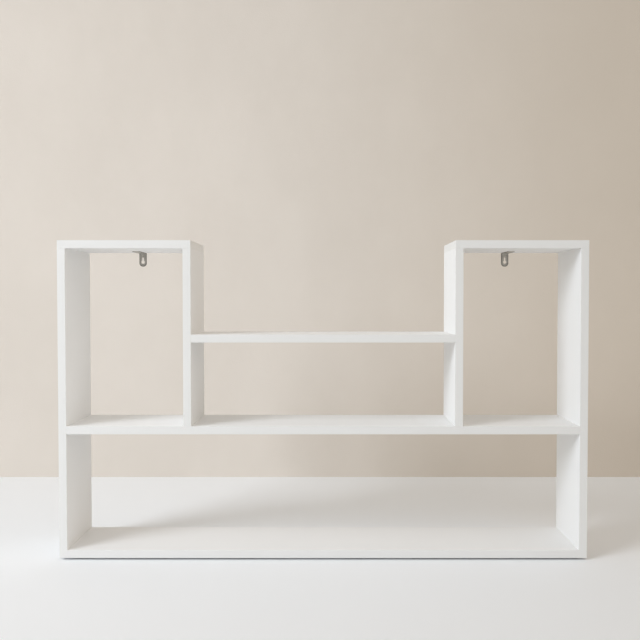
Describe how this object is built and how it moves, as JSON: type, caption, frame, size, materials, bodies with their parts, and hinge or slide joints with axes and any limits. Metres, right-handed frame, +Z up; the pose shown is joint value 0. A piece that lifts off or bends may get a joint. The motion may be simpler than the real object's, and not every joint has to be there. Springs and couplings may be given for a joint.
{
  "type": "wall shelf",
  "caption": "White wall shelf of melamine-faced board: open end towers on a full-width compartment, a middle shelf bridging them, and keyhole brackets that hang it on a wall.",
  "frame": {"origin": "middle of the footprint, on the surface that the felt pads stand on", "axes": "+X to the right seen from the front, +Y from the front to the wall, +Z up"},
  "size_m": [1.0024, 0.15, 0.6067],
  "materials": {
    "white_board": "white melamine facing on chipboard, fine pearl texture, satin",
    "white_edge_band": "white edge band with a faint lengthwise grain, satin",
    "connector_steel": "zinc plated steel",
    "white_cap": "moulded white plastic",
    "beech_dowel": "bare fluted beech",
    "bracket_zinc": "zinc plated pressed steel strip, dull",
    "bracket_screw_zinc": "zinc plated steel",
    "grey_felt": "pressed grey felt with adhesive back"
  },
  "bodies": {
    "root": {"bottom_board": "white_board", "lower_shelf": "white_board", "middle_shelf": "white_board", "left_side_panel": "white_board", "left_divider": "white_board", "left_top_board": "white_board", "right_side_panel": "white_board", "right_divider": "white_board", "right_top_board": "white_board", "bottom_board_front_band": "white_edge_band", "bottom_board_rear_band": "white_edge_band", "lower_shelf_front_band": "white_edge_band", "lower_shelf_rear_band": "white_edge_band", "middle_shelf_front_band": "white_edge_band", "middle_shelf_rear_band": "white_edge_band", "left_side_panel_front_band": "white_edge_band", "left_side_panel_rear_band": "white_edge_band", "left_divider_front_band": "white_edge_band", "left_divider_rear_band": "white_edge_band", "left_top_board_front_band": "white_edge_band", "left_top_board_rear_band": "white_edge_band", "right_side_panel_front_band": "white_edge_band", "right_side_panel_rear_band": "white_edge_band", "right_divider_front_band": "white_edge_band", "right_divider_rear_band": "white_edge_band", "right_top_board_front_band": "white_edge_band", "right_top_board_rear_band": "white_edge_band", "bottom_board_left_band": "white_edge_band", "bottom_board_right_band": "white_edge_band", "left_top_board_left_band": "white_edge_band", "left_top_board_right_band": "white_edge_band", "right_top_board_left_band": "white_edge_band", "right_top_board_right_band": "white_edge_band", "top_board_screws": "connector_steel", "bottom_board_screws": "connector_steel", "side_panel_screws": "connector_steel", "lower_shelf_screws": "connector_steel", "divider_screws": "connector_steel", "top_board_caps": "white_cap", "bottom_board_caps": "white_cap", "side_panel_caps": "white_cap", "lower_shelf_caps": "white_cap", "divider_caps": "white_cap", "top_board_dowels": "beech_dowel", "bottom_board_dowels": "beech_dowel", "side_panel_dowels": "beech_dowel", "lower_shelf_dowels": "beech_dowel", "divider_dowels": "beech_dowel", "left_hanging_bracket": "bracket_zinc", "right_hanging_bracket": "bracket_zinc", "left_bracket_screws": "bracket_screw_zinc", "right_bracket_screws": "bracket_screw_zinc", "front_left_pad": "grey_felt", "front_right_pad": "grey_felt", "rear_left_pad": "grey_felt", "rear_right_pad": "grey_felt"}
  },
  "joints": []
}
